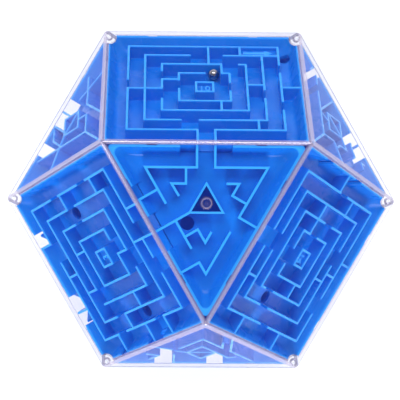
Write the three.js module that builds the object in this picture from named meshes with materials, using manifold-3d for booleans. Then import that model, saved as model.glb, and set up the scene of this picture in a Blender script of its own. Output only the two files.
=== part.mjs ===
// A closed tilt maze: a clear cuboctahedron (six squares, eight triangles) lying on one triangle.
// Two clear half shells meet at the middle. Behind each of the fourteen faces sits a moulded tray
// whose walls make a maze, and one steel ball rolls from tray to tray as the object is turned.
// Millimetres, +Z up, origin under the middle of the face that it lies on.

import * as THREE from 'three';
import { ConvexGeometry } from 'three/addons/geometries/ConvexGeometry.js';
import { mergeVertices } from 'three/addons/utils/BufferGeometryUtils.js';
import Module from 'manifold-3d';

const wasm = await Module();
wasm.setup();

// ---------------------------------------------------------------- driving dimensions

const EDGE = 70; // every edge of the clear polyhedron
const SHELL = 1.2; // wall of the clear half shells
const GAP = 0.3; // clearance between touching pieces
const TRAY_TOP = SHELL + GAP; // depth of the trays' rims and wall tops below the outer face
const CORRIDOR = 5; // depth of the maze corridors
const FLOOR = 1.2; // thickness of a tray's floor
const WALL = 0.8; // thickness of the maze walls
const RIM = 0.9; // thickness of a tray's rim
const TROUGH = 2.2; // radius between the rim's inner side and the floor
const PITCH = 5.87; // from one ring of walls to the next
const TRIANGLE_RING = 11.65; // the ring wall of the top and bottom triangles, from the middle
const MAZE_SHIFT = 0.5; // the square mazes lie this far towards the equator
const PLINTH_DROP = 1.5; // from the wall tops down to the plinths that carry a number or an arrow
const SQUARE_CORNER = { start: 0.9, growth: 0.68 }; // corner radius of square trays, rising with depth
const TRIANGLE_CORNER = { start: 1.4, growth: 0 }; // corner radius of the triangular trays
const POST_RADIUS = 2.4; // corner posts that join the half shells
const POST_INSET = 2.9; // from an equator corner to the axis of its post
const PIN_RADIUS = 1; // pin on each lower post
const PIN_LENGTH = 3;
const PEG_RADIUS = 2.15; // peg under the middle of the top face, and its twin at the bottom
const PEG_LENGTH = 3.4;
const BALL_RADIUS = 2;
const HOLE_RADIUS = 2.3; // trap holes, through a floor into the hollow core
const CLIP = { along: 18, width: 3.3, cut: 0.45, height: 1.4 }; // notches in every rim

// ---------------------------------------------------------------- what follows from them

const SQUARE_DISTANCE = EDGE / Math.SQRT2; // from the middle of the object to a square face
const TRIANGLE_DISTANCE = EDGE * Math.sqrt(2 / 3); // and to a triangular face
const SQUARE_INRADIUS = EDGE / 2;
const TRIANGLE_INRADIUS = EDGE / Math.sqrt(12);
const DRAFT = Math.sqrt(2 - Math.sqrt(3)); // slope of the plane that halves the angle at an edge
const FLOOR_TOP = TRAY_TOP + CORRIDOR;
const TRAY_BOTTOM = FLOOR_TOP + FLOOR;
const ring = (k) => (k - 0.5) * PITCH; // half size of the square rings, 1 to 5
const CENTRE = PITCH / 2; // inner radius of a triangle's middle pocket
const POCKET = CENTRE * 1.07; // wall line of the middle pocket in the top and bottom trays
const SIDE_RING = 8.15; // ring line of the side triangles, from the middle
const FAR = 60; // longer than any tray

const KINDS = {
  square: { sides: 4, inradius: SQUARE_INRADIUS, corner: SQUARE_CORNER },
  triangle: { sides: 3, inradius: TRIANGLE_INRADIUS, corner: TRIANGLE_CORNER },
};

const rad = THREE.MathUtils.degToRad;
const xyz = (x, y, z) => new THREE.Vector3(x, y, z);

// ---------------------------------------------------------------- solids

function solid(geometry) {
  geometry.deleteAttribute('normal');
  geometry.deleteAttribute('uv');
  const merged = mergeVertices(geometry, 1e-4);
  const vertProperties = new Float32Array(merged.attributes.position.array);
  const triVerts = new Uint32Array(merged.index.array);
  return new wasm.Manifold(new wasm.Mesh({ numProp: 3, vertProperties, triVerts }));
}

function geometryOf(manifold) {
  const mesh = manifold.getMesh();
  const geometry = new THREE.BufferGeometry();
  geometry.setAttribute('position', new THREE.BufferAttribute(mesh.vertProperties, 3));
  geometry.setIndex(new THREE.BufferAttribute(mesh.triVerts, 1));
  geometry.computeVertexNormals();
  return geometry;
}

const join = (solids) => solids.reduce((sum, next) => sum.add(next));

// A box from one corner to the other, turned about the tray's axis by an angle in degrees.
function box(from, to, angle = 0) {
  const geometry = new THREE.BoxGeometry(to.x - from.x, to.y - from.y, to.z - from.z);
  geometry.translate((from.x + to.x) / 2, (from.y + to.y) / 2, (from.z + to.z) / 2);
  geometry.rotateZ(rad(angle));
  return solid(geometry);
}

// An upright cylinder between two heights.
function cylinder(radius, bottom, top, x, y, sides = 24) {
  const geometry = new THREE.CylinderGeometry(radius, radius, top - bottom, sides);
  geometry.rotateX(Math.PI / 2);
  geometry.translate(x, y, (bottom + top) / 2);
  return solid(geometry);
}

// The convex solid through a stack of polygons with rounded corners: [inner radius, depth] each.
// A square has its sides across x and y, and a triangle has its apex at +y.
function stack(kind, levels, lessRadius = 0) {
  const { sides, corner: rounding } = KINDS[kind];
  const half = Math.PI / sides;
  const first = kind === 'square' ? Math.PI / 4 : Math.PI / 2;
  const arcSteps = 4;
  const points = [];
  for (const [inradius, depth] of levels) {
    const cornerRadius = rounding.start + rounding.growth * depth - lessRadius;
    const reach = (inradius - cornerRadius) / Math.cos(half);
    for (let corner = 0; corner < sides; corner += 1) {
      const facing = first + 2 * half * corner;
      for (let step = 0; step <= arcSteps; step += 1) {
        const turn = facing - half + (2 * half * step) / arcSteps;
        const x = reach * Math.cos(facing) + cornerRadius * Math.cos(turn);
        const y = reach * Math.sin(facing) + cornerRadius * Math.sin(turn);
        points.push(xyz(x, y, -depth));
      }
    }
  }
  return solid(new ConvexGeometry(points));
}

// ---------------------------------------------------------------- the tray blank

// Angle of each side about the tray's axis, and the sense in which positions along it run.
const SIDES = {
  s: [0, 1],
  e: [90, 1],
  n: [180, -1],
  w: [270, -1],
  base: [0, 1],
  right: [120, 1],
  left: [240, 1],
};

// A box on one side of a tray: a stretch along the side, between two distances from the axis.
function sideBox(side, [from, to], [near, far], [top, bottom]) {
  const [angle, sense] = SIDES[side];
  const start = sense > 0 ? from : -to;
  return box(xyz(start, -far, -bottom), xyz(start + to - from, -near, -top), angle);
}

// Half width of a tray's outer side at a depth, clear of the plane that it shares with its neighbour.
function outerAt(kind, depth) {
  const clearance = (GAP / 2) * Math.hypot(1, DRAFT);
  return KINDS[kind].inradius - DRAFT * depth - clearance;
}

// Depths and half widths of the hollow: a sloping side, then an arc down to the floor.
function hollowLevels(kind) {
  const sweep = Math.PI / 2 - Math.atan(DRAFT);
  const tangent = TROUGH * Math.tan(sweep / 2);
  const floorEdge = outerAt(kind, FLOOR_TOP) - RIM;
  const centreIn = floorEdge - tangent;
  const centreDepth = FLOOR_TOP - TROUGH;
  const arcSteps = 3;
  const levels = [[outerAt(kind, TRAY_TOP - 1) - RIM, TRAY_TOP - 1]];
  for (let step = 0; step <= arcSteps; step += 1) {
    const turn = (sweep * step) / arcSteps + Math.atan(DRAFT);
    levels.push([centreIn + TROUGH * Math.cos(turn), centreDepth + TROUGH * Math.sin(turn)]);
  }
  return levels;
}

function trayBlank(kind, rimGaps) {
  const outer = stack(kind, [TRAY_TOP, TRAY_BOTTOM].map((depth) => [outerAt(kind, depth), depth]));
  let rim = outer.subtract(stack(kind, hollowLevels(kind), -RIM / 2));
  const edge = outerAt(kind, TRAY_TOP);
  for (const [side, stretches] of Object.entries(rimGaps)) {
    for (const stretch of stretches) {
      rim = rim.subtract(sideBox(side, stretch, [edge - 8, edge + 1], [TRAY_TOP - 1, FLOOR_TOP]));
    }
  }
  const along = kind === 'square' ? ['s', 'e', 'n', 'w'] : ['base', 'right', 'left'];
  for (const side of along) {
    for (const middle of [-CLIP.along, CLIP.along]) {
      const stretch = [middle - CLIP.width / 2, middle + CLIP.width / 2];
      const deep = [TRAY_TOP - 1, TRAY_TOP + CLIP.height];
      rim = rim.subtract(sideBox(side, stretch, [edge - CLIP.cut, edge + 1], deep));
    }
  }
  return { outer, rim };
}

// ---------------------------------------------------------------- walls

const WALL_DEPTHS = [TRAY_TOP, FLOOR_TOP + FLOOR / 2];

// Unit vector across a wall, to its left.
function across([x0, y0], [x1, y1]) {
  const length = Math.hypot(x1 - x0, y1 - y0);
  return new THREE.Vector2(y0 - y1, x1 - x0).divideScalar(length);
}

// One side of a wall that runs through some points, with mitred corners. side is 1 or -1.
function wallSide(points, closed, side) {
  const count = points.length;
  return points.map((point, i) => {
    const before = closed || i > 0 ? across(points[(i + count - 1) % count], point) : null;
    const after = closed || i < count - 1 ? across(point, points[(i + 1) % count]) : null;
    const mitre = (before ?? after).clone().add(after ?? before);
    const reach = (side * WALL) / 2 / (1 + (before ?? after).dot(after ?? before));
    return mitre.multiplyScalar(reach).add(new THREE.Vector2(...point));
  });
}

// A wall through some points. It is a closed ring if it ends where it starts.
function wall(line) {
  const [first, last] = [line[0], line[line.length - 1]];
  const closed = first[0] === last[0] && first[1] === last[1];
  const points = closed ? line.slice(0, -1) : line;
  const left = wallSide(points, closed, 1);
  const right = wallSide(points, closed, -1);
  const size = (side) => Math.abs(THREE.ShapeUtils.area(side));
  const [inner, outer] = size(left) < size(right) ? [left, right] : [right, left];
  const outline = new THREE.Shape(closed ? outer : [...left, ...right.reverse()]);
  if (closed) {
    outline.holes.push(new THREE.Path(inner.reverse()));
  }
  const [top, bottom] = WALL_DEPTHS;
  const geometry = new THREE.ExtrudeGeometry(outline, { depth: bottom - top, bevelEnabled: false });
  geometry.translate(0, 0, -bottom);
  return solid(geometry);
}

// One square ring of walls, open where its sides' gaps say.
function squareRing(k, gaps) {
  const reach = ring(k) + WALL / 2;
  const band = [ring(k) - WALL / 2, reach];
  const pieces = [];
  for (const side of ['s', 'e', 'n', 'w']) {
    let start = -reach;
    for (const [from, to] of gaps[side] ?? []) {
      pieces.push(sideBox(side, [start, from], band, WALL_DEPTHS));
      start = to;
    }
    pieces.push(sideBox(side, [start, reach], band, WALL_DEPTHS));
  }
  return pieces;
}

// A wall that bars the way between two rings of one side. Ring 6 is the rim.
function spoke([side, from, to, place]) {
  const far = to > 5 ? SQUARE_INRADIUS + 1 : ring(to);
  return sideBox(side, [place - WALL / 2, place + WALL / 2], [ring(from), far], WALL_DEPTHS);
}

// ---------------------------------------------------------------- square mazes
// rings: gaps in the rings 2 to 5. spokes: side, first ring, last ring, place along the side.
// rim: gaps to the neighbouring tray. holes: traps. n is the side at the equator.
// plinths: opposite corners of any raised cell beside the middle one.

const northMaze = {
  rings: {
    2: { n: [[0.5, 5.7]], e: [[-2.2, 2.6]], w: [[-0.9, 3.9]] },
    3: { n: [[6.5, 12]], w: [[-7.2, -1.5], [5.1, 9.9]] },
    4: { n: [[-4.5, 6.7]], e: [[-6.9, -1.9]], s: [[-8.1, -2.45]] },
    5: { e: [[-14, -9.2], [9.5, 14.3]], s: [[-2.54, 2.54]], w: [[-0.7, 4.1]] },
  },
  spokes: [
    ['w', 2, 3, 4.7], ['w', 3, 5, -1.1], ['e', 3, 4, 1.5], ['e', 5, 6, -0.1], ['e', 4, 5, 20.55],
    ['n', 3, 5, 1.7], ['n', 4, 5, 12.9], ['n', 2, 3, 6.1], ['s', 2, 3, 5.5], ['s', 4, 5, 17.6],
    ['s', 5, 6, -2.94], ['s', 5, 6, 2.94],
  ],
  rim: { s: [[-2.54, 2.54]] },
  holes: [[29, 26.5]],
  plinths: [[[12.9, 20.55], [26.4, 26.4]]],
};

const southWestMaze = {
  rings: {
    2: { s: [[-0.4, 4.4]] },
    3: { n: [[-14.28, -9.1]], e: [[0.5, 5.3]], s: [[-7.4, -1.1]] },
    4: { e: [[0.4, 5.2]], w: [[6.5, 11.4]] },
    5: {
      n: [[5.5, 12.5]],
      e: [[-13, -7.6], [6.8, 11.6]],
      s: [[-12.9, -7.35], [0.5, 5.9]],
      w: [[-13.9, -9.1], [10.8, 16]],
    },
  },
  spokes: [
    ['n', 4, 5, -0.8], ['n', 3, 4, -8.7], ['n', 2, 3, 5.2], ['e', 4, 5, 5.6], ['e', 4, 5, -16],
    ['w', 3, 4, -5.35], ['w', 4, 5, 6.1], ['w', 5, 6, 16.9], ['w', 5, 6, -2.1], ['w', 5, 6, -14.3],
    ['s', 2, 3, -0.8], ['s', 4, 6, 0.1], ['s', 5, 6, 11.2], ['n', 5, 6, -13.6], ['n', 5, 6, 12.9],
  ],
  rim: {
    n: [[-18.7, -7], [13.3, 18.4]],
    s: [[-7.5, 5.5], [11.6, 16.7]],
    w: [[-7.2, 3.3], [17.3, 22.3]],
  },
  holes: [[18, 9.4], [-23.3, 1]],
};

const southEastMaze = {
  rings: {
    2: { s: [[-1.6, 4]], w: [[-3.5, 1.5]] },
    3: { e: [[-11.3, -6.1]], w: [[1.4, 6.8]] },
    4: { n: [[-8.75, -3.25]], e: [[-9.1, -3.6]], s: [[-3.9, 2.25]] },
    5: { n: [[9, 15]], e: [[-2.1, 3.15]], s: [[-3.9, 2.25]], w: [[0.2, 5.6]] },
  },
  spokes: [
    ['n', 5, 6, -5.7], ['n', 4, 5, 0.2], ['n', 3, 4, 3.5], ['w', 4, 5, 10.8], ['w', 5, 6, -0.75],
    ['w', 2, 4, -4.25], ['e', 2, 3, 5.05], ['e', 5, 6, 12.9], ['e', 5, 6, -14.1], ['s', 4, 5, 12.9],
  ],
  rim: { w: [[-19.2, -14.2], [4.6, 9.6]] },
  holes: [[17.8, 0.3]],
};

const lowNorthWestMaze = {
  rings: {
    2: { e: [[1.8, 6.8]], s: [[-3.4, 1.6]] },
    3: { n: [[4, 9]], w: [[-9.2, -4.2]] },
    4: { n: [[-12.4, -7.4]], e: [[-4.6, 0.4]], s: [[7.2, 12.2]] },
    5: { n: [[-1.3, 3.7], [10.9, 15.9]], e: [[5.2, 10.2]], s: [[-2.5, 2.5]], w: [[8, 13]] },
  },
  spokes: [
    ['n', 3, 4, 0.9], ['n', 5, 6, -2], ['n', 4, 5, 7.8], ['e', 2, 3, -3.2], ['e', 4, 5, 3.4],
    ['s', 3, 4, -5.1], ['s', 5, 6, 9.3], ['w', 2, 3, 2.2], ['w', 4, 5, -6.3], ['w', 5, 6, 3.3],
  ],
  rim: {
    n: [[-7.4, 3.6], [11, 15.9]],
    e: [[4, 9]],
    s: [[-2.5, 2.5]],
    w: [[8, 13]],
  },
  holes: [[-17.6, 4.2], [11.7, -12]],
};

const lowNorthEastMaze = {
  rings: {
    2: { n: [[-4.6, 0.4]], w: [[-1.2, 3.8]] },
    3: { e: [[3.6, 8.6]], s: [[-10.2, -5.2]] },
    4: { s: [[3.1, 8.1]], w: [[-7.7, -2.7]] },
    5: { n: [[-9.6, -5.2], [17.4, 22.4]], e: [[-12.3, -7.3]], s: [[-13.4, -8.4]], w: [[-3, 2]] },
  },
  spokes: [
    ['n', 2, 3, 5.1], ['n', 3, 4, -6.4], ['n', 5, 6, -10.7], ['n', 4, 5, 9.9], ['e', 3, 4, -1.7],
    ['e', 4, 5, 13.1], ['s', 2, 3, 2.4], ['s', 4, 5, -3.3], ['s', 5, 6, 4.4], ['w', 3, 4, 6.9],
    ['w', 5, 6, 8.2],
  ],
  rim: {
    n: [[-15.8, -5.5], [17.5, 22]],
    e: [[-12, -7]],
    s: [[-13.5, -8.5]],
    w: [[-3, 2]],
  },
  holes: [[5.8, 17.4], [-23.4, -14]],
};

const lowSouthMaze = {
  rings: {
    2: { w: [[-5.4, -0.4]], n: [[1.2, 6.2]] },
    3: { s: [[-6.2, -1.2]], e: [[-9.8, -4.8]] },
    4: { w: [[2.6, 7.6]], n: [[-3.7, 1.3]], e: [[8.9, 13.9]] },
    5: { n: [[-15.6, -10.6], [2.6, 7.6]], s: [[8.6, 13.6]], w: [[-9.2, -4.2]], e: [[12, 17]] },
  },
  spokes: [
    ['w', 2, 3, 3.2], ['w', 3, 4, -3.5], ['w', 4, 5, 12.7], ['n', 3, 4, 6.8], ['n', 4, 5, -6.1],
    ['n', 5, 6, -2.6], ['s', 2, 3, 4.1], ['s', 4, 5, -9.8], ['s', 5, 6, -4.5], ['e', 4, 5, -2.2],
    ['e', 5, 6, 4.9],
  ],
  rim: {
    n: [[-16.5, -10.2], [2.2, 8.1]],
    e: [[12, 17]],
    s: [[8.5, 13.5]],
    w: [[-9, -4]],
  },
  holes: [[-11.8, 9.5], [23.5, -9.7]],
};

// ---------------------------------------------------------------- triangular mazes
// Each line is a run of walls through its points, and a point beyond the rim ends in it.

const triangleCorners = (inradius, pointing = 1) => {
  const half = inradius * Math.sqrt(3);
  const base = -inradius * pointing;
  return [[0, 2 * inradius * pointing], [half, base], [-half, base], [0, 2 * inradius * pointing]];
};

const topLines = [
  triangleCorners(POCKET, -1),
  [[3.2, -FAR], [3.2, -TRIANGLE_RING], [20.18, -TRIANGLE_RING], [13.25, 0.35]],
  [[16, -4.4], [33.3, 5.6]],
  [[6.75, -TRIANGLE_RING], [6.75, -6.3], [11.5, -6.3], [9, -2.2]],
  [[-2.8, -FAR], [-2.8, -TRIANGLE_RING], [-20.18, -TRIANGLE_RING], [-10.75, 4.7], [-28, 14.7]],
  [[-13.25, 0.35], [-8.5, -2.4], [-10.75, -6.3], [-6.5, -6.3]],
  [[5.46, 3.15], [34.6, 20]],
  [[10.09, 5.83], [4.75, 15.1]],
  [[7, 11.2], [2.75, 8.7], [0.25, 13], [-1.75, 9.5]],
  [[-8, 9.4], [0, 23.3], [2.2, 19.5], [19.5, 29.5]],
];

const northWestLines = [
  triangleCorners(CENTRE),
  [[0, FAR], [0, 2 * SIDE_RING], [-5.3, 7.1], [-2.5, 2.2]],
  [[0, 2 * SIDE_RING], [18.2, -15.2]],
  [[5.1, -CENTRE], [30, 11.4]],
  [[-5.1, -CENTRE], [0, -11.8], [5.1, -CENTRE]],
  [[-2, -8.3], [-2, -FAR]],
  [[3.9, -5], [3.9, -FAR]],
  [[-8.5, FAR], [-8.5, 1.6], [-17.3, -13.7]],
  [[-8.6, -9], [-30, 3.4]],
  [[8.8, 1], [8.8, -10.7], [5.3, -16.8]],
];

const northEastLines = [
  triangleCorners(CENTRE),
  [[-30, 23.9], [-4.2, 9], [0, 2 * SIDE_RING], [0, FAR]],
  [[0, 2 * SIDE_RING], [13.5, -7.1]],
  [[15.5, -10.5], [18.6, -15.9]],
  [[2.4, 1.75], [6.9, 4.35]],
  [[-6.7, 9], [-6.7, 4.7], [-9.5, -0.2], [-5.1, -CENTRE]],
  [[-5.1, -CENTRE], [0, -11.8], [5.1, -CENTRE]],
  [[-13.2, -4], [-13.2, -6.5], [-10, -8.3], [-8.4, -11.1]],
  [[7.5, 3.3], [7.5, -FAR]],
  [[21.6, -12.5], [21.6, -FAR]],
  [[-19, -8.5], [-16.5, -10], [-18, -12.6]],
];

const southLines = [
  triangleCorners(CENTRE),
  [[-8, 2.4], [0, 2 * SIDE_RING], [7, 4.2], [7, 11.5]],
  [[-30, 12.4], [-10.2, 1.1]],
  [[10, FAR], [10, -1], [18.8, -16.2]],
  [[-9.4, -0.4], [-5.1, -CENTRE]],
  [[-5.1, -CENTRE], [0, -11.8], [5.1, -CENTRE]],
  [[5.1, -CENTRE], [9.8, -11], [12.2, -9.6]],
  [[-19.5, -5.1], [-15, -7.7], [-18.4, -13.6]],
  [[-9.6, -6], [-9.6, -FAR]],
];

const mirrored = (lines) => lines.map((line) => line.map(([x, y]) => [-x, y]));

const topMaze = {
  lines: topLines,
  open: true,
  rim: { base: [[-8.5, 8.7]], right: [[-16.7, -11.6], [-5.5, 7.5]] },
  holes: [[6.1, 6.85]],
};

const bottomMaze = {
  lines: mirrored(topLines),
  rim: { base: [[-13.5, -8.5]], right: [[-2.5, 2.5]], left: [[8.5, 13.5]] },
  holes: [[-6.1, 6.85]],
};

const northWestMaze = {
  lines: northWestLines,
  rim: { base: [[-7.4, -2.4], [-1.6, 3.5], [11, 15.9]] },
  holes: [[-13, 3.5]],
};

const northEastMaze = {
  lines: northEastLines,
  rim: { base: [[-15.8, -11.2], [-10.3, -5.5], [17.5, 21.2]], left: [[-19.2, -14.2], [4.6, 9.6]] },
  holes: [[11.8, 5]],
};

const southMaze = {
  lines: southLines,
  rim: { base: [[-16.5, -10.2], [2.2, 8.1]], left: [[-7.2, 3.3], [17.3, 22.3]] },
  holes: [[-14.6, -4.4]],
};

const lowNorthMaze = {
  lines: mirrored(southLines),
  rim: { right: [[7, 12]], left: [[8, 13]] },
  holes: [[14.6, -4.4]],
};

const lowSouthWestMaze = {
  lines: [...mirrored(northWestLines), [[-13.6, -14.5], [-13.6, -FAR]]],
  rim: { base: [[-18.7, -7], [13.3, 18.4]], right: [[-9, -4]], left: [[-9, -4]] },
  holes: [[13, 3.5]],
};

const lowSouthEastMaze = {
  lines: mirrored(northEastLines),
  rim: { right: [[-17, -12]], left: [[-3, 2]] },
  holes: [[-11.8, 5]],
};

// ---------------------------------------------------------------- faces

// Where the three upper squares look, as bearings in degrees from +X.
const BEARINGS = { north: 90, southWest: 210, southEast: 330 };
const UP = xyz(0, 0, 1);

// A face's own frame in the object's: z out of the face, y towards the equator on a square and
// towards the apex on a triangle, and the origin in the middle of the face.
function faceFrame(kind, normal, towards) {
  const y = towards.clone().addScaledVector(normal, -towards.dot(normal)).normalize();
  const x = y.clone().cross(normal);
  const distance = kind === 'square' ? SQUARE_DISTANCE : TRIANGLE_DISTANCE;
  const frame = new THREE.Matrix4().makeBasis(x, y, normal);
  return frame.setPosition(normal.clone().multiplyScalar(distance));
}

// A unit vector from its bearing and its height above the horizontal plane.
function direction(bearing, height) {
  const flat = Math.sqrt(1 - height * height);
  return xyz(flat * Math.cos(rad(bearing)), flat * Math.sin(rad(bearing)), height);
}

const SQUARE_HEIGHT = Math.sqrt(1 / 3); // height of an upper square's unit normal
const TRIANGLE_HEIGHT = 1 / 3; // and of an upper side triangle's

// half is 1 above the equator and -1 below it.
const squareFace = (bearing, half) =>
  faceFrame('square', direction(bearing, SQUARE_HEIGHT * half), xyz(0, 0, -half));
const sideFace = (bearing, half) =>
  faceFrame('triangle', direction(bearing, TRIANGLE_HEIGHT * half), xyz(0, 0, half));

const TRAYS = [
  ['tray_north_square', 'square', squareFace(90, 1), northMaze],
  ['tray_south_west_square', 'square', squareFace(210, 1), southWestMaze],
  ['tray_south_east_square', 'square', squareFace(330, 1), southEastMaze],
  ['tray_top_triangle', 'triangle', faceFrame('triangle', UP, xyz(0, -1, 0)), topMaze],
  ['tray_north_east_triangle', 'triangle', sideFace(30, 1), northEastMaze],
  ['tray_north_west_triangle', 'triangle', sideFace(150, 1), northWestMaze],
  ['tray_south_triangle', 'triangle', sideFace(270, 1), southMaze],
  ['tray_low_north_east_square', 'square', squareFace(30, -1), lowNorthEastMaze],
  ['tray_low_north_west_square', 'square', squareFace(150, -1), lowNorthWestMaze],
  ['tray_low_south_square', 'square', squareFace(270, -1), lowSouthMaze],
  ['tray_low_north_triangle', 'triangle', sideFace(90, -1), lowNorthMaze],
  ['tray_low_south_west_triangle', 'triangle', sideFace(210, -1), lowSouthWestMaze],
  ['tray_low_south_east_triangle', 'triangle', sideFace(330, -1), lowSouthEastMaze],
  ['tray_bottom_triangle', 'triangle', faceFrame('triangle', xyz(0, 0, -1), xyz(0, 1, 0)), bottomMaze],
];

// ---------------------------------------------------------------- trays

const postPlaces = [0, 60, 120, 180, 240, 300].map((bearing) => {
  const reach = EDGE - POST_INSET;
  return [reach * Math.cos(rad(bearing)), reach * Math.sin(rad(bearing))];
});

// Room for the corner posts, in a face's own frame.
function postRoom(frame) {
  const toFace = frame.clone().invert();
  return postPlaces.map(([x, y]) => {
    const radius = POST_RADIUS + GAP;
    const geometry = new THREE.CylinderGeometry(radius, radius, 24, 20);
    geometry.rotateX(Math.PI / 2);
    geometry.translate(x, y, 0);
    geometry.applyMatrix4(toFace);
    return solid(geometry);
  });
}

function mazeWalls(kind, maze) {
  if (kind === 'triangle') {
    return join(maze.lines.map(wall));
  }
  const rings = [1, 2, 3, 4, 5].flatMap((k) => squareRing(k, maze.rings[k] ?? {}));
  const half = ring(1);
  const raised = [[[-half, -half], [half, half]], ...(maze.plinths ?? [])];
  const plinths = raised.map(([low, high]) =>
    box(xyz(...low, -FLOOR_TOP - FLOOR / 2), xyz(...high, -TRAY_TOP - PLINTH_DROP)));
  return join([...plinths, ...rings, ...maze.spokes.map(spoke)]).translate([0, MAZE_SHIFT, 0]);
}

// The three-sided way through the floor of the middle pocket. It trims the inner sides of its walls.
function pocketOpening() {
  const reach = 2 * (POCKET - WALL / 2 + 0.1);
  const height = TRAY_BOTTOM + 2;
  const geometry = new THREE.CylinderGeometry(reach, reach, height, 3);
  geometry.rotateX(Math.PI / 2);
  geometry.translate(0, 0, -height / 2);
  return solid(geometry);
}

function tray(kind, frame, maze) {
  const { outer, rim } = trayBlank(kind, maze.rim);
  let body = rim.add(mazeWalls(kind, maze).intersect(outer));
  if (maze.open) {
    body = body.subtract(pocketOpening());
  }
  for (const [x, y] of maze.holes) {
    body = body.subtract(cylinder(HOLE_RADIUS, -TRAY_BOTTOM - 1, -FLOOR_TOP + 1, x, y));
  }
  for (const room of postRoom(frame)) {
    body = body.subtract(room);
  }
  return geometryOf(body);
}

// ---------------------------------------------------------------- half shells

// The polyhedron with every face moved in by an offset, standing on a triangle about the origin.
function polyhedron(offset) {
  const half = SQUARE_DISTANCE - offset;
  const reach = (TRIANGLE_DISTANCE - offset) * Math.sqrt(3);
  const cube = new THREE.BoxGeometry(2 * half, 2 * half, 2 * half);
  const octahedron = new THREE.OctahedronGeometry(reach);
  const axes = Object.values(BEARINGS).map((bearing) => direction(bearing, SQUARE_HEIGHT));
  const upright = new THREE.Matrix4().makeBasis(...axes);
  return solid(cube.applyMatrix4(upright)).intersect(solid(octahedron.applyMatrix4(upright)));
}

function halfShell(half) {
  const outer = polyhedron(0);
  const parting = GAP / 2;
  let body = outer.subtract(polyhedron(SHELL));
  for (const [x, y] of postPlaces) {
    body = body.add(cylinder(POST_RADIUS, -12, 12, x, y, 20).intersect(outer));
  }
  const pegTop = TRIANGLE_DISTANCE - SHELL / 2;
  const pegTip = TRIANGLE_DISTANCE - TRAY_TOP - PEG_LENGTH;
  const [pegLow, pegHigh] = half > 0 ? [pegTip, pegTop] : [-pegTop, -pegTip];
  body = body.add(cylinder(PEG_RADIUS, pegLow, pegHigh, 0, 0));
  const [low, high] = half > 0 ? [parting, FAR + 10] : [-FAR - 10, -parting];
  body = body.intersect(box(xyz(-EDGE - 5, -EDGE - 5, low), xyz(EDGE + 5, EDGE + 5, high)));
  for (const [x, y] of postPlaces) {
    const socket = cylinder(PIN_RADIUS + GAP, -1, PIN_LENGTH + 2 * GAP, x, y, 16);
    const pin = cylinder(PIN_RADIUS, -2, PIN_LENGTH, x, y, 16);
    body = half > 0 ? body.subtract(socket) : body.add(pin);
  }
  return geometryOf(body);
}

// ---------------------------------------------------------------- the object

const CLEAR = { color: 0xdfe0f2, roughness: 0.06, metalness: 0, transparent: true, opacity: 0.22 };
const BLUE = { color: 0x1c74e4, roughness: 0.35, metalness: 0 };
const STEEL = { color: 0xb9bcc4, roughness: 0.12, metalness: 1 };

function piece(name, geometry, finish) {
  const mesh = new THREE.Mesh(geometry, new THREE.MeshStandardMaterial(finish));
  mesh.name = name;
  return mesh;
}

const object = new THREE.Group();
object.position.z = TRIANGLE_DISTANCE;

object.add(piece('shell_upper', halfShell(1), CLEAR));
object.add(piece('shell_lower', halfShell(-1), CLEAR));

const seats = {};
for (const [name, kind, frame, maze] of TRAYS) {
  const seat = new THREE.Group();
  seat.applyMatrix4(frame);
  seat.add(piece(name, tray(kind, frame, maze), BLUE));
  seats[name] = seat;
  object.add(seat);
}

// The ball lies at the right end of the north square's corridor between rings 2 and 3.
const BALL_PLACE = xyz(
  6.1 - WALL / 2 - BALL_RADIUS - GAP,
  ring(3) + MAZE_SHIFT - WALL / 2 - BALL_RADIUS - GAP,
  -(FLOOR_TOP - BALL_RADIUS - GAP),
);
const ball = piece('steel_ball', geometryOf(solid(new THREE.SphereGeometry(BALL_RADIUS, 24, 16))), STEEL);
ball.position.copy(BALL_PLACE);
seats.tray_north_square.add(ball);

export default object;
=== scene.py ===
"""Looks for the closed tilt maze: a clear cuboctahedron, fourteen blue maze trays and a steel ball.

Everything is in metres, in the CAD frame: +Z up, origin under the middle of the face it lies on.
"""

import math

import bmesh
import bpy
from mathutils import Matrix, Vector


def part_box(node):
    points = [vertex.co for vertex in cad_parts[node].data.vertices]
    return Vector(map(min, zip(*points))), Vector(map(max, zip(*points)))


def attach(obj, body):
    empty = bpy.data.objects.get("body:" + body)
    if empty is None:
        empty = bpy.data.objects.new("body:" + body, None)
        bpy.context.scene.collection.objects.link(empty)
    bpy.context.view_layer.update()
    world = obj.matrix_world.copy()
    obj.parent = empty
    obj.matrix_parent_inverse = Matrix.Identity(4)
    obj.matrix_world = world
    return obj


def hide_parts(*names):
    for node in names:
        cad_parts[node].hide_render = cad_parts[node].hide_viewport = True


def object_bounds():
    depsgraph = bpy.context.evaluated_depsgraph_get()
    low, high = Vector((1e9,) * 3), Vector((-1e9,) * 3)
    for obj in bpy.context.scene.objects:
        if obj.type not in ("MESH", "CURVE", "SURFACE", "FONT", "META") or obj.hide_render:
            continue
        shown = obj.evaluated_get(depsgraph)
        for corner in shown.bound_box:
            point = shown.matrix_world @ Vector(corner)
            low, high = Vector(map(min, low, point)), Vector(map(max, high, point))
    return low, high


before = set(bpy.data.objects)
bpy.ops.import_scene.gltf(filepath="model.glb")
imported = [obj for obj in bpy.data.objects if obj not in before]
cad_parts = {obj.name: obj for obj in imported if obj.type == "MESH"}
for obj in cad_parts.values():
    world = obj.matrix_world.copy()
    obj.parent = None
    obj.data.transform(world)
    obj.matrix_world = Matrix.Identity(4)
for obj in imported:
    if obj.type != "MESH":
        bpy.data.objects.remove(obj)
cad_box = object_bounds()

# ---------------------------------------------------------------- sizes, from the frame

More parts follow.
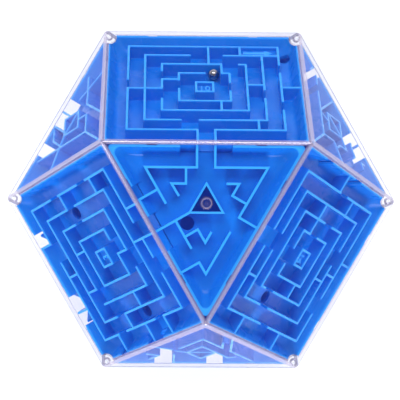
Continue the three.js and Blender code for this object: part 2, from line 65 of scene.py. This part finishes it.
MM = 0.001
LOW, HIGH = cad_box
CENTRE = Vector((0, 0, (LOW.z + HIGH.z) / 2))
TRIANGLE_DISTANCE = (HIGH.z - LOW.z) / 2  # from the middle to a triangular face
EDGE = TRIANGLE_DISTANCE / math.sqrt(2 / 3)  # every edge of the polyhedron
SQUARE_DISTANCE = EDGE / math.sqrt(2)
SHELL = 1.2 * MM  # wall of the clear half shells
SHELL_BEND = 0.75 * MM  # how far the rounding of the outer edges reaches onto each face
INNER_BEND = 0.8 * MM  # and that of the inner corners
PARTING = 0.15 * MM  # from the equator to the edge of each half shell
FIT = 0.3 * MM  # play between neighbouring pieces
POST_RADIUS = 2.4 * MM
POST_REACH = EDGE - 2.9 * MM  # from the upright axis to a post's own axis
POST_HALF_HEIGHT = 12 * MM  # taller than the room in a corner, which cuts it to length
PIN_RADIUS = 1.0 * MM
PIN_LENGTH = 3.0 * MM
PEG_RADIUS = 2.15 * MM
PEG_LENGTH = 3.4 * MM
DIMPLE_DEPTH = 1.2 * MM  # of the round dimple in each peg's tip
DIMPLE_RADIUS = PEG_RADIUS * 0.55
GATE_DEPTH = 0.4 * MM  # of the round gate mark over each peg
GATE_RADIUS = 1.4 * MM
TRAY_TOP = SHELL + FIT  # depth of the trays' wall tops below the outer faces
MAZE_SHIFT = 0.5 * MM  # how far the square mazes lie towards the equator
SOFTENING = 0.13 * MM  # how far the small roundings of the trays reach
RELIEF = 0.9 * MM  # thickness of the raised numbers and of the arrow, a quarter of it sunk in
PLINTH_TOP = TRAY_TOP + 1.5 * MM  # depth of the plinths under the numbers and the arrow

EQUATOR = [math.radians(60 * k) for k in range(6)]  # bearings of the six corners at mid height
SQUARE_BEARINGS = [math.radians(90 + 120 * k) for k in range(3)]  # north, south west, south east
SQUARE_HEIGHT = math.sqrt(1 / 3)  # height of an upper square's unit normal
TRIANGLE_HEIGHT = 1 / 3  # and of an upper side triangle's


def direction(bearing, height):
    """A unit vector from its bearing and its height above the horizontal plane."""
    flat = math.sqrt(1 - height * height)
    return Vector((flat * math.cos(bearing), flat * math.sin(bearing), height))


def face_normals():
    """Outward normals of the fourteen faces."""
    normals = [Vector((0, 0, 1)), Vector((0, 0, -1))]
    for bearing in SQUARE_BEARINGS:
        normals.append(direction(bearing, SQUARE_HEIGHT))
        normals.append(-normals[-1])
        normals.append(direction(bearing + math.pi, TRIANGLE_HEIGHT))
        normals.append(-normals[-1])
    return normals


NORMALS = face_normals()

# ---------------------------------------------------------------- camera

LENS = 155.0  # focal length and sensor width in the camera's own millimetres
SENSOR = 36.0
EYE = Vector((-0.2596, 0.1564, 8.8479)) * EDGE  # almost straight above the middle of the object
AIM = Vector((-0.0075, -0.0005, 0.0)) * EDGE  # the point looked at, from the same middle
ROLL = math.radians(0.46)
NEAR, FAR = 0.01, 10  # nothing is seen outside these distances


def add_camera():
    camera = bpy.data.objects.new("camera", bpy.data.cameras.new("camera"))
    bpy.context.scene.collection.objects.link(camera)
    camera.data.lens = LENS
    camera.data.sensor_width = SENSOR
    camera.data.clip_start = NEAR
    camera.data.clip_end = FAR
    ahead = (AIM - EYE).normalized()
    up = Vector((-math.sin(ROLL), math.cos(ROLL), 0))
    right = ahead.cross(up).normalized()
    turn = Matrix((right, right.cross(ahead), -ahead)).transposed()
    camera.matrix_world = Matrix.Translation(CENTRE + EYE) @ turn.to_4x4()
    bpy.context.scene.camera = camera


# ---------------------------------------------------------------- light and floor

# name, place, what it points at, width and height, watts
LAMPS = [
    ("key", Vector((0.05, 0.8, 1.15)), CENTRE, (1.3, 0.45), 13.0),
    ("front", Vector((0.1, -0.9, 0.6)), Vector((0, -0.25, 0)), (0.5, 0.3), 8.0),
    ("left", Vector((-1.0, -0.25, 0.75)), CENTRE, (0.5, 0.5), 3.5),
]
HORIZON = (0.80, 0.82, 0.86)
ZENITH = (0.42, 0.44, 0.47)
ZENITH_FROM = 0.75  # height of a unit direction above which the sky no longer darkens
FLOOR_REACH = 3.0  # half the floor's side
FLOOR_GAP = 0.05 * MM  # keeps the floor clear of the face that lies on it


def add_lamp(name, place, aim, size, power):
    light = bpy.data.lights.new(name, "AREA")
    light.shape = "RECTANGLE"
    light.size, light.size_y = size
    light.energy = power
    lamp = bpy.data.objects.new(name, light)
    bpy.context.scene.collection.objects.link(lamp)
    lamp.location = place
    lamp.rotation_euler = (aim - place).to_track_quat("-Z", "Y").to_euler()


def add_light():
    """A broad key lamp in the north, small ones in the south and west, and a sky pale at the horizon."""
    world = bpy.data.worlds.new("studio")
    bpy.context.scene.world = world
    world.use_nodes = True
    nodes, links = world.node_tree.nodes, world.node_tree.links
    place = nodes.new("ShaderNodeTexCoord")
    split = nodes.new("ShaderNodeSeparateXYZ")
    links.new(place.outputs["Generated"], split.inputs["Vector"])
    height = add_range(nodes, links, split.outputs["Z"], 0.0, 1.0, 0.0, ZENITH_FROM)
    sky = add_ramp(nodes, links, height.outputs["Result"], [(0.0, HORIZON), (1.0, ZENITH)])
    links.new(sky.outputs["Color"], nodes["Background"].inputs["Color"])
    for lamp in LAMPS:
        add_lamp(*lamp)
    view = bpy.context.scene.view_settings
    view.view_transform = "Standard"
    view.look = "None"


def add_floor():
    bm = bmesh.new()
    place = Matrix.Translation((0, 0, -FLOOR_GAP))
    bmesh.ops.create_grid(bm, x_segments=1, y_segments=1, size=FLOOR_REACH, matrix=place)
    mesh = mesh_from(bm, "floor")
    floor = bpy.data.objects.new("floor", mesh)
    bpy.context.scene.collection.objects.link(floor)
    material, nodes, links, shader = new_material("pale_floor")
    grain = add_noise(nodes, links, 9.0, 3)
    tone = add_ramp(nodes, links, grain.outputs["Fac"], [(0.3, (0.9, 0.9, 0.9)), (0.7, (0.94, 0.94, 0.94))])
    links.new(tone.outputs["Color"], shader.inputs["Base Color"])
    shader.inputs["Roughness"].default_value = 0.6
    shader.inputs["Emission Color"].default_value = (1, 1, 1, 1)
    shader.inputs["Emission Strength"].default_value = 0.15
    mesh.materials.append(material)


# ---------------------------------------------------------------- materials

BLUES = [(0.3, (0.003, 0.18, 0.64)), (0.55, (0.004, 0.195, 0.70)), (0.75, (0.006, 0.215, 0.77))]
# paler blue on the wall tops: a painted highlight for light through the thin walls and on their rounding
PAINTED_TOP_HIGHLIGHT = (0.035, 0.38, 0.96, 1)
# faint blue emission: a painted glow standing in for light scattered inside the thin plastic
BLUE_PAINTED_GLOW = (0.02, 0.17, 1.0, 1)
TOP_HIGHLIGHT_START = 0.08  # millimetres below the wall tops where their painted highlight starts to fade
TOP_HIGHLIGHT_END = 0.6  # and where it has gone
STEELS = [(0.3, (0.30, 0.30, 0.33)), (0.7, (0.38, 0.38, 0.41))]
CLEAR_TINT = (0.955, 0.95, 0.965, 1)  # what is left of white light behind one wall
WALL_SHEEN = (0.86, 0.86, 0.93)
EDGE_SHEEN = (0.43, 0.38, 0.53)


def new_material(name):
    material = bpy.data.materials.new(name)
    material.use_nodes = True
    nodes, links = material.node_tree.nodes, material.node_tree.links
    return material, nodes, links, nodes["Principled BSDF"]


def object_place(nodes):
    """The object coordinates, from one node that a material's textures share."""
    for node in nodes:
        if node.type == "TEX_COORD":
            return node.outputs["Object"]
    return nodes.new("ShaderNodeTexCoord").outputs["Object"]


def add_noise(nodes, links, scale, detail, distortion=0.0, stretch=None):
    """Noise in object coordinates, with scale counted per metre."""
    noise = nodes.new("ShaderNodeTexNoise")
    noise.inputs["Scale"].default_value = scale
    noise.inputs["Detail"].default_value = detail
    noise.inputs["Distortion"].default_value = distortion
    place = object_place(nodes)
    if stretch:
        mapping = nodes.new("ShaderNodeMapping")
        mapping.inputs["Scale"].default_value = stretch
        links.new(place, mapping.inputs["Vector"])
        place = mapping.outputs["Vector"]
    links.new(place, noise.inputs["Vector"])
    return noise


def add_ramp(nodes, links, value, stops):
    """A colour ramp through stops, each a position and a colour, in rising order."""
    ramp = nodes.new("ShaderNodeValToRGB")
    first, last = ramp.color_ramp.elements[0], ramp.color_ramp.elements[-1]
    for element, (place, colour) in zip((first, last), (stops[0], stops[-1])):
        element.position = place
        element.color = (*colour, 1)
    for place, colour in stops[1:-1]:
        ramp.color_ramp.elements.new(place).color = (*colour, 1)
    links.new(value, ramp.inputs["Fac"])
    return ramp


def add_range(nodes, links, value, low, high, from_low=0.0, from_high=1.0):
    """A number that goes from low to high as the value goes from from_low to from_high."""
    node = nodes.new("ShaderNodeMapRange")
    node.inputs["From Min"].default_value = from_low
    node.inputs["From Max"].default_value = from_high
    node.inputs["To Min"].default_value = low
    node.inputs["To Max"].default_value = high
    links.new(value, node.inputs["Value"])
    return node


def add_bump(nodes, links, height, shader, distance, strength=1.0):
    bump = nodes.new("ShaderNodeBump")
    bump.inputs["Distance"].default_value = distance
    bump.inputs["Strength"].default_value = strength
    links.new(height, bump.inputs["Height"])
    links.new(bump.outputs["Normal"], shader.inputs["Normal"])


def blue_plastic():
    """Glossy azure styrene: flow clouding, a fine moulded skin, rubbed patches, a painted highlight on the
    wall tops and a faint painted glow.
    """
    material, nodes, links, shader = new_material("blue_plastic")
    clouds = add_noise(nodes, links, 55.0, 4, distortion=0.8)
    deep = add_ramp(nodes, links, clouds.outputs["Fac"], BLUES)
    depth = nodes.new("ShaderNodeAttribute")
    depth.attribute_name = "depth"
    top = TRAY_TOP / MM
    # the blue turns paler within a fraction of a millimetre of the wall tops: a painted highlight
    top_highlight = add_range(nodes, links, depth.outputs["Fac"], 1.0, 0.0, top + TOP_HIGHLIGHT_START, top + TOP_HIGHLIGHT_END)
    tone = nodes.new("ShaderNodeMix")
    tone.data_type = "RGBA"
    links.new(top_highlight.outputs["Result"], tone.inputs["Factor"])
    links.new(deep.outputs["Color"], tone.inputs["A"])
    tone.inputs["B"].default_value = PAINTED_TOP_HIGHLIGHT
    links.new(tone.outputs["Result"], shader.inputs["Base Color"])
    rubbed = add_noise(nodes, links, 160.0, 5)
    rough = add_range(nodes, links, rubbed.outputs["Fac"], 0.2, 0.38, 0.35, 0.7)
    links.new(rough.outputs["Result"], shader.inputs["Roughness"])
    skin = add_noise(nodes, links, 900.0, 3)
    add_bump(nodes, links, skin.outputs["Fac"], shader, 0.02 * MM, 0.5)
    shader.inputs["Specular IOR Level"].default_value = 0.15
    # a faint painted glow: emission standing in for light scattered inside the blue plastic
    shader.inputs["Emission Color"].default_value = BLUE_PAINTED_GLOW
    shader.inputs["Emission Strength"].default_value = 0.08
    return material


def clear_plastic(name, colour, least, most, power):
    """Clear styrene with faint handling marks.

    It mirrors by the share least where it is seen face on and most where it is seen edge on, and a
    higher power keeps the share low over more of the angles between.
    """
    material, nodes, links, shader = new_material(name)
    shader.inputs["Base Color"].default_value = (*colour, 1)
    shader.inputs["Specular IOR Level"].default_value = 1.0
    shader.inputs["Metallic"].default_value = 0.4
    smears = add_noise(nodes, links, 40.0, 5, distortion=1.5)
    rough = add_range(nodes, links, smears.outputs["Fac"], 0.05, 0.2, 0.4, 0.8)
    links.new(rough.outputs["Result"], shader.inputs["Roughness"])
    waves = add_noise(nodes, links, 60.0, 2)
    add_bump(nodes, links, waves.outputs["Fac"], shader, 0.02 * MM, 0.4)
    clear = nodes.new("ShaderNodeBsdfTransparent")
    clear.inputs["Color"].default_value = CLEAR_TINT
    facing = nodes.new("ShaderNodeLayerWeight")
    curve = nodes.new("ShaderNodeMath")
    curve.operation = "POWER"
    links.new(facing.outputs["Facing"], curve.inputs[0])
    curve.inputs[1].default_value = power
    share = add_range(nodes, links, curve.outputs["Value"], least, most)
    mix = nodes.new("ShaderNodeMixShader")
    links.new(share.outputs["Result"], mix.inputs["Fac"])
    links.new(clear.outputs["BSDF"], mix.inputs[1])
    links.new(shader.outputs["BSDF"], mix.inputs[2])
    links.new(mix.outputs["Shader"], nodes["Material Output"].inputs["Surface"])
    return material


def polished_steel():
    """Bearing steel with fine rolling marks."""
    material, nodes, links, shader = new_material("polished_steel")
    stains = add_noise(nodes, links, 700.0, 4)
    tone = add_ramp(nodes, links, stains.outputs["Fac"], STEELS)
    links.new(tone.outputs["Color"], shader.inputs["Base Color"])
    shader.inputs["Metallic"].default_value = 1.0
    marks = add_noise(nodes, links, 1500.0, 6, stretch=(1, 6, 1))
    rough = add_range(nodes, links, marks.outputs["Fac"], 0.04, 0.12, 0.35, 0.7)
    links.new(rough.outputs["Result"], shader.inputs["Roughness"])
    add_bump(nodes, links, marks.outputs["Fac"], shader, 0.01 * MM, 0.2)
    return material


# ---------------------------------------------------------------- mesh helpers


def add_piece(name, mesh, body, material, replaced=None):
    """A visible piece that rides on a body, and stands for a CAD node where one is named."""
    piece = bpy.data.objects.new(name, mesh)
    bpy.context.scene.collection.objects.link(piece)
    mesh.materials.clear()
    mesh.materials.append(material)
    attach(piece, body)
    if replaced:
        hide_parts(replaced)
    return piece


def mesh_from(bm, name):
    """The mesh of a bmesh, which is freed."""
    mesh = bpy.data.meshes.new(name)
    bm.to_mesh(mesh)
    bm.free()
    return mesh


def apply_modifiers(piece):
    """Keeps the shape that the modifiers give the piece, and drops them."""
    graph = bpy.context.evaluated_depsgraph_get()
    mesh = bpy.data.meshes.new_from_object(piece.evaluated_get(graph))
    piece.modifiers.clear()
    old = piece.data
    piece.data = mesh
    bpy.data.meshes.remove(old)


def smooth(piece):
    """Rounded parts look round and flat faces stay flat."""
    piece.data.shade_smooth()
    weighted = piece.modifiers.new("weighted", "WEIGHTED_NORMAL")
    weighted.mode = "FACE_AREA"
    weighted.weight = 80
    weighted.keep_sharp = True
    apply_modifiers(piece)


def combine(mesh, other, operation):
    """The first mesh joined with, cut by or limited to the other. Both are used up."""
    pair = []
    for part in (mesh, other):
        piece = bpy.data.objects.new("combined", part)
        bpy.context.scene.collection.objects.link(piece)
        pair.append(piece)
    modifier = pair[0].modifiers.new("boolean", "BOOLEAN")
    modifier.operation = operation
    modifier.solver = "EXACT"
    modifier.object = pair[1]
    graph = bpy.context.evaluated_depsgraph_get()
    result = bpy.data.meshes.new_from_object(pair[0].evaluated_get(graph))
    for piece in pair:
        part = piece.data
        bpy.data.objects.remove(piece)
        bpy.data.meshes.remove(part)
    return result


# ---------------------------------------------------------------- clear half shells

BAR_SEGMENTS = 40
CONE_SEGMENTS = 32
POST_INSET = 0.4 * MM  # how far the posts stay inside the polyhedron
POST_BEND = 0.5 * MM  # and the rounding where they follow it
PEG_CHAMFER = 0.3 * MM
DIMPLE_CHAMFER = 0.2 * MM
SOCKET_CHAMFER = 0.2 * MM
PIN_CHAMFER = 0.25 * MM
PIN_ROOT = 2 * MM  # how far a pin reaches down into its post
SOCKET_DROP = 1 * MM  # how far the cut for a socket starts below mid height
FLAT = math.cos(math.radians(1.5))  # how closely a flat face's normal follows the polyhedron's


def corners_of_polyhedron(scale):
    """The twelve corners about CENTRE: six at mid height, and three on the top and bottom triangles each."""
    side = EDGE / math.sqrt(3)
    points = [Vector((math.cos(a), math.sin(a), 0)) * EDGE for a in EQUATOR]
    for k in range(3):
        bearing = math.radians(30 + 120 * k)
        corner = Vector((math.cos(bearing) * side, math.sin(bearing) * side, TRIANGLE_DISTANCE))
        points += [corner, -corner]
    return [point * scale for point in points]


def polyhedron(scale, bend, segments):
    """A solid cuboctahedron whose edges are rounded over a distance bend on each face."""
    bm = bmesh.new()
    for point in corners_of_polyhedron(scale):
        bm.verts.new(CENTRE + point)
    bmesh.ops.convex_hull(bm, input=bm.verts)
    bmesh.ops.dissolve_limit(bm, angle_limit=math.radians(2), verts=bm.verts, edges=bm.edges)
    bmesh.ops.bevel(
        bm, geom=bm.edges[:], offset=bend, offset_type="OFFSET", segments=segments, profile=0.5,
        affect="EDGES", clamp_overlap=True,
    )
    bmesh.ops.recalc_face_normals(bm, faces=bm.faces)
    return mesh_from(bm, "polyhedron")


def round_bar(radius, low, high, place, chamfer=0.0):
    """An upright bar between two heights, its axis at place, with softened ends if there is a chamfer."""
    bm = bmesh.new()
    middle = Matrix.Translation((*place, (low + high) / 2))
    bmesh.ops.create_cone(
        bm, cap_ends=True, segments=BAR_SEGMENTS, radius1=radius, radius2=radius, depth=high - low,
        matrix=middle,
    )
    if chamfer:
        rims = [e for e in bm.edges if any(len(f.verts) > 4 for f in e.link_faces)]
        bmesh.ops.bevel(bm, geom=rims, offset=chamfer, segments=3, profile=0.5, affect="EDGES")
    return mesh_from(bm, "bar")


def face_bar(half, inner, outer, radius, chamfer):
    """A bar on the upright axis between two distances from the middle, above it or below it."""
    low, high = sorted((CENTRE.z + half * inner, CENTRE.z + half * outer))
    return round_bar(radius, low, high, (0, 0), chamfer)


def face_cone(half, inner, outer, inner_radius, outer_radius):
    """A cone on the upright axis between two distances from the middle, above it or below it."""
    bm = bmesh.new()
    place = Matrix.Translation((0, 0, CENTRE.z + half * (inner + outer) / 2))
    turn = Matrix.Rotation(0 if half > 0 else math.pi, 4, "X")
    bmesh.ops.create_cone(
        bm, cap_ends=True, segments=CONE_SEGMENTS, radius1=inner_radius, radius2=outer_radius,
        depth=outer - inner, matrix=place @ turn,
    )
    return mesh_from(bm, "cone")


def slab(low, high):
    """A block between two heights, wider than the object."""
    bm = bmesh.new()
    size = Matrix.Diagonal((4 * EDGE, 4 * EDGE, high - low, 1))
    bmesh.ops.create_cube(bm, size=1, matrix=Matrix.Translation((0, 0, (low + high) / 2)) @ size)
    return mesh_from(bm, "slab")


def joined(meshes):
    """Several solids that don't touch, as one mesh."""
    bm = bmesh.new()
    for mesh in meshes:
        bm.from_mesh(mesh)
        bpy.data.meshes.remove(mesh)
    return mesh_from(bm, "joined")


def bars_at_posts(radius, low, high, chamfer=0.0):
    """A bar in each of the six corners at mid height, between two heights."""
    places = [(math.cos(a) * POST_REACH, math.sin(a) * POST_REACH) for a in EQUATOR]
    return joined([round_bar(radius, low, high, place, chamfer) for place in places])


def hollow_with_posts():
    """The whole hollow polyhedron with a post in each of its six corners at mid height."""
    inner = polyhedron(1 - SHELL / TRIANGLE_DISTANCE, INNER_BEND, 3)
    hollow = combine(polyhedron(1, SHELL_BEND, 4), inner, "DIFFERENCE")
    posts = bars_at_posts(POST_RADIUS, CENTRE.z - POST_HALF_HEIGHT, CENTRE.z + POST_HALF_HEIGHT)
    posts = combine(posts, polyhedron(1 - POST_INSET / EDGE, POST_BEND, 3), "INTERSECT")
    return combine(hollow, posts, "UNION")


def with_peg(body, half):
    """Adds the peg under the middle of the top or bottom face, its dimple and the gate mark over it."""
    tip = TRIANGLE_DISTANCE - TRAY_TOP - PEG_LENGTH
    root = TRIANGLE_DISTANCE - SHELL / 2
    gate = TRIANGLE_DISTANCE - GATE_DEPTH
    above = TRIANGLE_DISTANCE + GATE_DEPTH
    peg = face_bar(half, tip, root, PEG_RADIUS, PEG_CHAMFER)
    dimple = face_bar(half, tip - PEG_LENGTH, tip + DIMPLE_DEPTH, DIMPLE_RADIUS, DIMPLE_CHAMFER)
    recess = face_cone(half, gate, above, GATE_RADIUS, GATE_RADIUS + GATE_DEPTH * 2)
    nub = face_cone(half, gate - GATE_DEPTH, gate + GATE_DEPTH / 2, GATE_RADIUS / 2, GATE_RADIUS / 4)
    body = combine(body, peg, "UNION")
    body = combine(body, dimple, "DIFFERENCE")
    body = combine(body, recess, "DIFFERENCE")
    return combine(body, nub, "UNION")


def half_shell(half):
    """One clear half with its posts and its centre peg. half is 1 above and -1 below."""
    middle = CENTRE.z
    body = with_peg(hollow_with_posts(), half)
    low, high = sorted((middle + half * PARTING, middle + half * 2 * EDGE))
    body = combine(body, slab(low, high), "INTERSECT")
    if half > 0:
        top = middle + PIN_LENGTH + 2 * FIT
        sockets = bars_at_posts(PIN_RADIUS + FIT, middle - SOCKET_DROP, top, SOCKET_CHAMFER)
        return combine(body, sockets, "DIFFERENCE")
    pins = bars_at_posts(PIN_RADIUS, middle - PIN_ROOT, middle + PIN_LENGTH, PIN_CHAMFER)
    return combine(body, pins, "UNION")


def add_shells(wall, edge):
    """Faces that lie on the polyhedron's planes take the wall material, and roundings and posts the other."""
    for name, half in (("shell_upper", 1), ("shell_lower", -1)):
        shell = add_piece("clear_" + name, half_shell(half), "case", wall, name)
        smooth(shell)
        shell.data.materials.append(edge)
        for face in shell.data.polygons:
            flat = max(abs(face.normal.dot(normal)) for normal in NORMALS) > FLAT
            face.material_index = 0 if flat else 1


# ---------------------------------------------------------------- trays

POINT_MERGE = 0.01 * MM  # points closer than this become one
SOFTENED_FROM = math.radians(35)  # edges that turn by less stay as they are


def face_of(box):
    """The outward normal of the face whose tray has this box, and its distance from the middle."""
    low, high = box
    middle = (low + high) / 2 - CENTRE
    normal = max(NORMALS, key=lambda n: n.dot(middle.normalized()))
    is_square = math.isclose(abs(normal.z), SQUARE_HEIGHT, rel_tol=0.01)
    return normal, SQUARE_DISTANCE if is_square else TRIANGLE_DISTANCE


def add_depth(mesh, box):
    """Stores each point's depth below the outer face, in millimetres, for the blue plastic's painted
    highlight on the wall tops.
    """
    normal, distance = face_of(box)
    depths = mesh.attributes.new("depth", "FLOAT", "POINT")
    for depth, point in zip(depths.data, mesh.vertices):
        depth.value = (distance - (point.co - CENTRE).dot(normal)) / MM


def add_trays(material):
    """Each tray is the CAD tray with its facets merged and its sharp edges and inner corners softened."""
    for name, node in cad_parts.items():
        if not name.startswith("tray_"):
            continue
        bm = bmesh.new()
        bm.from_mesh(node.data)
        bmesh.ops.remove_doubles(bm, verts=bm.verts, dist=POINT_MERGE)
        bmesh.ops.dissolve_limit(bm, angle_limit=math.radians(1), verts=bm.verts, edges=bm.edges)
        outlines = [f for f in bm.faces if len(f.verts) > 4]
        bmesh.ops.triangulate(bm, faces=outlines, quad_method="BEAUTY", ngon_method="EAR_CLIP")
        tray = add_piece("moulded_" + name, mesh_from(bm, name), "case", material, name)
        bevel = tray.modifiers.new("soft", "BEVEL")
        bevel.width = SOFTENING
        bevel.segments = 2
        bevel.limit_method = "ANGLE"
        bevel.angle_limit = SOFTENED_FROM
        bevel.use_clamp_overlap = False
        bevel.miter_outer = "MITER_SHARP"
        apply_modifiers(tray)
        smooth(tray)
        add_depth(tray.data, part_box(name))


# ---------------------------------------------------------------- raised numbers and arrow

NUMBERS = {
    "tray_north_square": "10",
    "tray_south_west_square": "3",
    "tray_south_east_square": "14",
    "tray_low_north_east_square": "5",
    "tray_low_north_west_square": "8",
    "tray_low_south_square": "12",
}
NUMBER_HEIGHT = 3.0 * MM
NUMBER_WIDEST = 3.9 * MM  # wider numbers are narrowed to this
DIGIT_SHARE = 0.72  # height of a digit in a font of size 1
NUMBER_ROUNDING = 0.05 * MM
NUMBER_THINNING = 0.02 * MM  # makes room for the rounding
ARROW_TRAY = "tray_north_square"
ARROW_TAIL = (14.2 * MM, 23.5 * MM)  # from the middle of the maze
ARROW_LENGTH = 10.3 * MM
ARROW_HEAD = 2.8 * MM
ARROW_HALF_SHAFT = 0.65 * MM
ARROW_HALF_HEAD = 1.7 * MM
ARROW_ROUNDING = 0.08 * MM


def square_frame(name):
    """A square tray's own frame: y towards mid height, z out of the face, origin in the face's middle."""
    normal = face_of(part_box(name))[0]
    towards = Vector((0, 0, -normal.z))
    y = (towards - normal * towards.dot(normal)).normalized()
    x = y.cross(normal)
    origin = CENTRE + normal * SQUARE_DISTANCE
    return Matrix.Translation(origin) @ Matrix((x, y, normal)).transposed().to_4x4()


def add_relief(name, mesh, tray, place, material):
    """Stands a flat relief on a plinth, at a place from the middle of the maze, with the wall tops' painted
    highlight all over it.
    """
    x, y = place
    plinth = Matrix.Translation((x, y + MAZE_SHIFT, RELIEF / 4 - PLINTH_TOP))
    mesh.transform(square_frame(tray) @ plinth)
    add_piece(name, mesh, "case", material)
    # every point gets the depth of a wall top, so the whole relief takes the painted highlight
    depths = mesh.attributes.new("depth", "FLOAT", "POINT")
    for depth in depths.data:
        depth.value = TRAY_TOP / MM


def number_mesh(text):
    """A number in relief, facing +z, with its middle at the origin."""
    curve = bpy.data.curves.new("number", "FONT")
    curve.body = text
    curve.size = NUMBER_HEIGHT / DIGIT_SHARE
    curve.align_x = "CENTER"
    curve.align_y = "CENTER"
    curve.extrude = RELIEF / 2
    curve.offset = -NUMBER_THINNING
    curve.bevel_depth = NUMBER_ROUNDING
    curve.bevel_resolution = 1
    curve.resolution_u = 4
    holder = bpy.data.objects.new("number", curve)
    bpy.context.scene.collection.objects.link(holder)
    graph = bpy.context.evaluated_depsgraph_get()
    mesh = bpy.data.meshes.new_from_object(holder.evaluated_get(graph))
    bpy.data.objects.remove(holder)
    bpy.data.curves.remove(curve)
    width = max(p.co.x for p in mesh.vertices) - min(p.co.x for p in mesh.vertices)
    mesh.transform(Matrix.Diagonal((min(1, NUMBER_WIDEST / width), 1, 1, 1)))
    bm = bmesh.new()
    bm.from_mesh(mesh)
    bmesh.ops.remove_doubles(bm, verts=bm.verts, dist=POINT_MERGE / 10)
    bpy.data.meshes.remove(mesh)
    return mesh_from(bm, "number")


def arrow_mesh():
    """A flat arrow along +x with a softened top, its tail at the origin."""
    neck = ARROW_LENGTH - ARROW_HEAD
    outline = [(0, -ARROW_HALF_SHAFT), (neck, -ARROW_HALF_SHAFT), (neck, -ARROW_HALF_HEAD), (ARROW_LENGTH, 0)]
    outline += [(x, -y) for x, y in outline[2::-1]]
    bm = bmesh.new()
    base = bm.faces.new([bm.verts.new((x, y, -RELIEF / 2)) for x, y in outline])
    grown = bmesh.ops.extrude_face_region(bm, geom=[base])["geom"]
    upper = [v for v in grown if isinstance(v, bmesh.types.BMVert)]
    bmesh.ops.translate(bm, verts=upper, vec=(0, 0, RELIEF))
    bmesh.ops.recalc_face_normals(bm, faces=bm.faces)
    rim = [e for e in bm.edges if all(v.co.z > 0 for v in e.verts)]
    bmesh.ops.bevel(bm, geom=rim, offset=ARROW_ROUNDING, segments=2, profile=0.5, affect="EDGES")
    return mesh_from(bm, "arrow")


def add_reliefs(material):
    for tray, text in NUMBERS.items():
        add_relief("number_" + tray, number_mesh(text), tray, (0, 0), material)
    add_relief("arrow_" + ARROW_TRAY, arrow_mesh(), ARROW_TRAY, ARROW_TAIL, material)


# ---------------------------------------------------------------- steel ball


def add_ball(material):
    low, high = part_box("steel_ball")
    radius = max(high - low) / 2
    bm = bmesh.new()
    bmesh.ops.create_icosphere(bm, subdivisions=5, radius=radius, matrix=Matrix.Translation((low + high) / 2))
    ball = add_piece("bearing_ball", mesh_from(bm, "ball"), "ball", material, "steel_ball")
    ball.data.shade_smooth()


# ---------------------------------------------------------------- the scene

add_camera()
add_light()
add_floor()
add_shells(
    clear_plastic("clear_plastic", WALL_SHEEN, least=0.004, most=0.8, power=9),
    clear_plastic("clear_edge", EDGE_SHEEN, least=0.55, most=0.95, power=2),
)
blue = blue_plastic()
add_trays(blue)
add_reliefs(blue)
add_ball(polished_steel())
